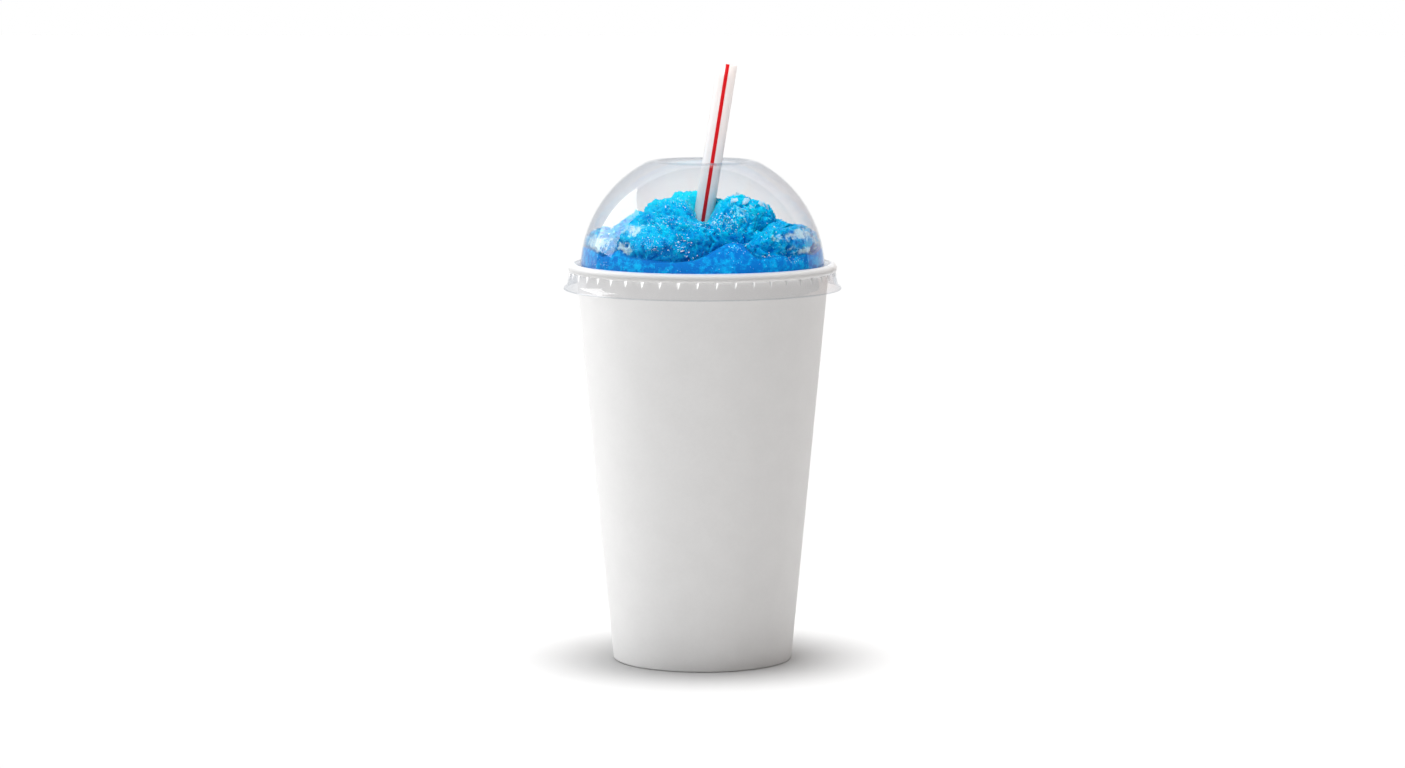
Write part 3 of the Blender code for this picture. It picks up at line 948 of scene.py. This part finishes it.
def heap_shape():
    """Rows of azimuths, elevations and reaches in mm, and what colours the surface, with its
    painted light and shade.
    """
    azimuth, elevation = heap_grid()
    smooth = on_sphere(heap_reach(azimuth, elevation), azimuth, elevation)
    drift = clouds(smooth, DRIFT_SIZE)
    swirl = clouds(smooth + SWIRL_SHIFT, SWIRL_SIZE)
    above = elevation - (np.interp(azimuth, *np.array(TIDE_LINE).T) + SWIRL_TIDE * swirl)
    narrowing = np.cos(np.radians(np.minimum(elevation, DRIFT_HIGHEST)))
    bent_azimuth = azimuth + DRIFT_TURN * drift / narrowing
    reach = heap_reach(bent_azimuth, elevation + SWIRL_LIFT * swirl)
    reach = hollow_limit(reach, azimuth, elevation)
    relief, bright = ice_relief(on_sphere(reach, azimuth, elevation))
    heap = np.minimum(reach + relief, PRESSED)
    band = PRESSED + TUCK_SPARE - TUCK_FALL * smooth_step(TUCK_FROM, TUCK_TO, above)
    loose = smooth_step(LOOSE_FROM, LOOSE_TO, above)
    crease = np.exp(-((above - CREASE_PLACE) / CREASE_HALF) ** 2)
    reach = (1.0 - loose) * np.minimum(band, PRESSED) + loose * heap
    reach = np.minimum(reach - crease * (CREASE_DEPTH + CREASE_WAVE * drift), PRESSED)
    # painted light and shade: lighter higher up and on raised relief, painted shade in the
    # crease and in the shaded patches
    light = LIGHT_MIDDLE + bright + LIGHT_RISE * (elevation - LIGHT_ELEVATION)
    light = (light + LIGHT_WAVE * drift) * (1.0 - CREASE_SHADE * crease)
    light = light - PAINTED_PATCH_SHADE * patch_share(azimuth, elevation, SHADED)
    pressed = 1.0 - smooth_step(DULL_FROM, DULL_TO, above)
    return azimuth, elevation, reach, light, pressed, drift, swirl


def make_slush(ice):
    """One body from the cup's floor up to the heap, and where its surface lies."""
    noise.seed_set(ICE_SEED)
    azimuth, elevation, reach, light, pressed, drift, swirl = heap_shape()
    heap = on_sphere(reach, azimuth, elevation) * MM
    sides = [(wall_radius(height * MM, BOARD / 2) + SIDE_GAP, height * MM)
             for height in SIDE_HEIGHTS]
    side_rows = spun_rows([*sides, SIDE_TOP], azimuth[0])
    rows = np.concatenate([side_rows, heap])
    floor_point = (0.0, 0.0, SIDE_HEIGHTS[0] * MM)
    crown = Vector(heap[-1].mean(axis=0))
    slush = skin("slush_heap", rows, ice, loop=False, caps=(floor_point, crown))
    frost = patch_share(azimuth, elevation, FROST) + FROST_WAVE * swirl
    frost = np.clip(frost, 0.0, 1.0) * (1.0 - pressed)
    sparkle = patch_share(azimuth, elevation, SPARKLE) + SPARKLE_WAVE * drift
    sparkle = np.clip(sparkle, 0.0, 1.0)
    at_crown = 0.5
    # 'light' is painted light and shade; 'sparkle' is where the painted glints go
    for name, values, under in (("frost", frost, 0.0), ("light", light, 0.3),
                                ("pressed", pressed, 1.0), ("sparkle", sparkle, 0.0)):
        below = np.full(side_rows.shape[:2], under)
        paint(slush, name, [*below.ravel(), *values.ravel(), under, at_crown])
    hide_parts("slush")
    return slush, (azimuth, elevation, reach, pressed)


def crystal_points(random, size):
    """Corners of a small splinter of ice."""
    stretch = Vector(random.uniform(*limits) for limits in SPLINTER_STRETCH)
    turn = Matrix.Rotation(random.uniform(0, 2 * pi), 3, Vector(random.normal(size=3)))
    corners = []
    for _ in range(CORNERS_OF_A_SPLINTER):
        corner = Vector(random.normal(size=3)).normalized() * size / 2
        corners.append(turn @ Vector(c * s for c, s in zip(corner, stretch)))
    return corners


def scatter(name, material, heap, weight, count, sizes, seed, sink):
    """Loose splinters of ice lying in the surface of the heap, as one mesh."""
    random = np.random.default_rng(seed)
    azimuth, elevation, reach, _ = heap
    share = (weight * np.cos(np.radians(elevation))).ravel()
    picks = random.choice(share.size, size=count, replace=False, p=share / share.sum())
    mesh_data = bmesh.new()
    for pick in picks:
        row, column = divmod(int(pick), azimuth.shape[1])
        size = sizes[0] + (sizes[1] - sizes[0]) * random.uniform() ** 2
        distance = min(reach[row, column] - sink * size, PRESSED - size * 0.5)
        place = on_sphere(distance, azimuth[row, column], elevation[row, column])
        corners = [mesh_data.verts.new(Vector(place * MM) + corner * MM)
                   for corner in crystal_points(random, size)]
        hull = bmesh.ops.convex_hull(mesh_data, input=corners)
        loose = [v for v in hull["geom_interior"] + hull["geom_unused"]
                 if isinstance(v, bmesh.types.BMVert)]
        bmesh.ops.delete(mesh_data, geom=loose, context="VERTS")
    mesh = bpy.data.meshes.new(name)
    bmesh.ops.recalc_face_normals(mesh_data, faces=mesh_data.faces)
    mesh_data.to_mesh(mesh)
    mesh_data.free()
    return add_object(name, mesh, material)


def make_ice(heap):
    """Fine near-white splinters where the heap glitters, partly grains of ice and partly
    painted glints, and larger clear pieces at the right.
    """
    azimuth, elevation, _, pressed = heap
    glints = patch_share(azimuth, elevation, GLINTS) ** 2
    glints = glints + GLITTER_ELSEWHERE * (1.0 - GLITTER_PRESSED_LOSS * pressed)
    # painted glints: the glitter is near white and nearly opaque
    glitter = scatter("ice_glitter", clear_ice("glitter_ice", GLITTER_WHITE, 0.9), heap,
                      glints, **GLITTER)
    chunks = scatter("ice_chunks", clear_ice("chunk_ice", CHUNK_BLUE, 0.35), heap,
                     patch_share(azimuth, elevation, CHUNK_PATCHES), **CHUNKS)
    return glitter, chunks


# ---- straw --------------------------------------------------------------------------

def straw_line():
    """Ends of the straw's middle line, from its box: it leans to +X and to +Y."""
    low = Vector(straw_box[0])
    high = Vector(straw_box[1])
    start, end = low.copy(), high.copy()
    # how far the tube stands out from its middle line hangs on the lean, so step by step
    for _ in range(STRAW_LEAN_STEPS):
        lean = (end - start).normalized()
        spread = Vector(STRAW_RADIUS * sqrt(1.0 - part ** 2) for part in lean)
        start = low + spread
        end = high - spread
    return start, end


def straw_rings(length):
    """(radius, place along the straw) of each ring, up the outside and down the inside."""
    inside = STRAW_RADIUS - STRAW_WALL
    rings = [(STRAW_RADIUS - STRAW_LIP, 0.0), (STRAW_RADIUS, STRAW_LIP)]
    rings += [(STRAW_RADIUS, length * step / STRAW_OUTER_RINGS)
              for step in range(1, STRAW_OUTER_RINGS)]
    rings += [(STRAW_RADIUS, length - STRAW_LIP), (STRAW_RADIUS - STRAW_LIP, length)]
    rings += [(inside, length * (1 - step / STRAW_INNER_RINGS))
              for step in range(STRAW_INNER_RINGS + 1)]
    return rings


def make_straw(white, red):
    """Tube with a stripe of the second finish at the front and one at the back."""
    start, end = straw_line()
    axis = (end - start).normalized()
    front = Vector((0.0, -1.0, 0.0))
    front = (front - axis * front.dot(axis)).normalized()
    side = axis.cross(front)
    half = degrees(STRIPE_WIDTH / 2 / STRAW_RADIUS)
    narrow = np.linspace(-half, half, 5)
    wide = np.linspace(half, 180.0 - half, 25)[1:-1]
    turns = np.radians(np.concatenate([narrow, wide, narrow + 180.0, wide + 180.0]))
    rows = [[start + axis * along + (front * cos(turn) + side * sin(turn)) * radius
             for turn in turns] for radius, along in straw_rings((end - start).length)]
    straw = skin("striped_straw", np.array(rows), white, smooth_angle=STRAW_SHARP)
    straw.data.materials.append(red)
    for polygon in straw.data.polygons:
        centre = Vector(polygon.center) - start
        out = (centre - axis * centre.dot(axis)).normalized()
        if abs(out.dot(front)) > cos(radians(half)):
            polygon.material_index = 1
    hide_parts("straw")
    return straw


# ---- stage --------------------------------------------------------------------------

def make_stage():
    """The white table top."""
    mesh_data = bmesh.new()
    bmesh.ops.create_grid(mesh_data, x_segments=1, y_segments=1, size=TABLE_SIZE)
    mesh = bpy.data.meshes.new("floor")
    mesh_data.to_mesh(mesh)
    mesh_data.free()
    material, nodes = finish("white_floor")
    surface(nodes, nodes.add("ShaderNodeBsdfDiffuse", None, {"Color": colour(TABLE_WHITE)}))
    floor = add_object("floor", mesh, material)
    floor.location.z = -TABLE_GAP


def make_world():
    """White to the camera; as light it is dim, fades to a warm right, bright behind."""
    world = bpy.data.worlds.new("studio")
    bpy.context.scene.world = world
    world.use_nodes = True
    nodes = Nodes(world.node_tree)
    direction = nodes.add("ShaderNodeTexCoord", output="Generated")
    x = nodes.part(direction, "X")
    y = nodes.part(direction, "Y")
    mirrored = nodes.add("ShaderNodeLightPath", output="Is Glossy Ray")
    seen = nodes.add("ShaderNodeLightPath", output="Is Camera Ray")
    sides = (SIDE_LIGHT - x * SIDE_LIGHT_FALL) * (1.0 - mirrored * SIDE_MIRROR_LOSS)
    behind = nodes.step(y, *(cos(radians(edge)) for edge in WALL_EDGE))
    light = sides * (1.0 - behind) + behind * (mirrored * WALL_MIRROR_GAIN + WALL_LIGHT)
    shade = nodes.blend(nodes.step(x, *WARM_SIDE) * (1.0 - seen), WHITE, WARM_WALL)
    strength = light * (1.0 - seen) + seen
    glow = nodes.add("ShaderNodeBackground", None, {"Color": shade, "Strength": strength})
    surface(nodes, glow, "ShaderNodeOutputWorld")


def aimed(thing, height):
    """Turns a lamp to face the object's middle line at a height."""
    aim = Vector((0.0, 0.0, height)) - thing.location
    thing.rotation_euler = aim.to_track_quat("-Z", "Y").to_euler()


def pieces_group(name, pieces):
    """A collection outside the scene, for a lamp to light or be shaded by."""
    group = bpy.data.collections.new(name)
    for piece in pieces:
        group.objects.link(piece)
    return group


def add_lamp(name, place, size, energy, height, pieces, shade=WHITE, mirrored=False):
    """A square lamp of some watts aimed at a height, lighting some pieces only.

    It shows in reflections only when mirrored.
    """
    light = bpy.data.lights.new(name, "AREA")
    light.size = size
    light.energy = energy
    light.color = shade
    lamp = bpy.data.objects.new(name, light)
    lamp.location = place
    aimed(lamp, height)
    lamp.visible_camera = False
    lamp.visible_glossy = mirrored
    lamp.light_linking.receiver_collection = pieces_group("lit_by_" + name, pieces)
    bpy.context.collection.objects.link(lamp)
    return lamp


def make_lights(wall, floor, lid, lugs, slush, ice, straw):
    """A tall softbox at the left, weak fills for single pieces and light from above."""
    softbox = add_lamp("left_softbox", (-0.80, 0.30, 0.55), 0.56, 4.2, 0.15,
                       (wall, floor, lid, lugs, slush, straw, *ice), mirrored=True)
    softbox.data.shape = "RECTANGLE"
    softbox.data.size_y = 0.62
    add_lamp("slush_fill", (-0.35, -0.75, 0.75), 0.4, 6.5, 0.15, (slush, straw, *ice),
             mirrored=True)
    add_lamp("straw_fill", (0.65, -0.55, 0.35), 0.4, 2.6, 0.17, (straw,), WARM_STRAW)
    add_lamp("right_fill", (0.65, -0.55, 0.35), 0.4, 2.5, 0.17, (slush, *ice))
    add_lamp("warm_fill", (0.65, -0.55, 0.20), 0.4, 0.35, 0.1, (wall, lid), WARM_PAPER)
    add_lamp("cup_fill", (-0.98, -0.69, 0.25), 0.5, 2.3, 0.07, (wall, floor))
    add_lamp("lug_fill", (-0.85, -0.85, 0.10), 0.3, 16.0, 0.13, (lugs, ice[0]))
    # light that comes back up from the table to the lowest part of the wall
    under = add_lamp("base_fill", (0.0, 0.0, -3.0 * MM), 0.15, 0.045, 1.0, (wall,))
    under.data.shape = "DISK"
    under.light_linking.blocker_collection = pieces_group("shades_base_fill", (wall,))
    sun = bpy.data.lights.new("top_light", "SUN")
    sun.energy = 3.6
    sun.angle = radians(22.0)
    top = bpy.data.objects.new("top_light", sun)
    top.visible_glossy = False
    bpy.context.collection.objects.link(top)


def make_camera():
    """The view from the front and a little above."""
    data = bpy.data.cameras.new("camera")
    data.sensor_width = CAMERA_SENSOR
    data.lens = CAMERA_LENS
    camera = bpy.data.objects.new("camera", data)
    camera.location = (0.0, -CAMERA_DISTANCE, CAMERA_HEIGHT)
    camera.rotation_euler = (radians(90.0 - CAMERA_TILT), 0.0, 0.0)
    bpy.context.collection.objects.link(camera)
    bpy.context.scene.camera = camera


def main():
    """The whole drink on its table, lit and framed."""
    make_camera()
    make_world()
    make_stage()
    bpy.context.scene.view_settings.view_transform = "Standard"
    wall, floor = make_cup(paper_board())
    lid = make_lid(clear_sheet())
    lugs = make_lugs(painted_lug_highlight())
    slush, heap = make_slush(slush_ice())
    straw = make_straw(straw_plastic("straw_white", STRAW_WHITE),
                       straw_plastic("straw_red", STRAW_RED))
    glitter, chunks = make_ice(heap)
    for piece, slot in ((wall, "cup_paper"), (floor, "cup_paper"), (lid, "lid_clear"),
                        (lugs, "lid_clear"), (slush, "slush_blue"),
                        (straw, "straw_plastic"), (glitter, "slush_blue"),
                        (chunks, "slush_blue")):
        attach(piece, "root")
    make_lights(wall, floor, lid, lugs, slush, (glitter, chunks), straw)


main()
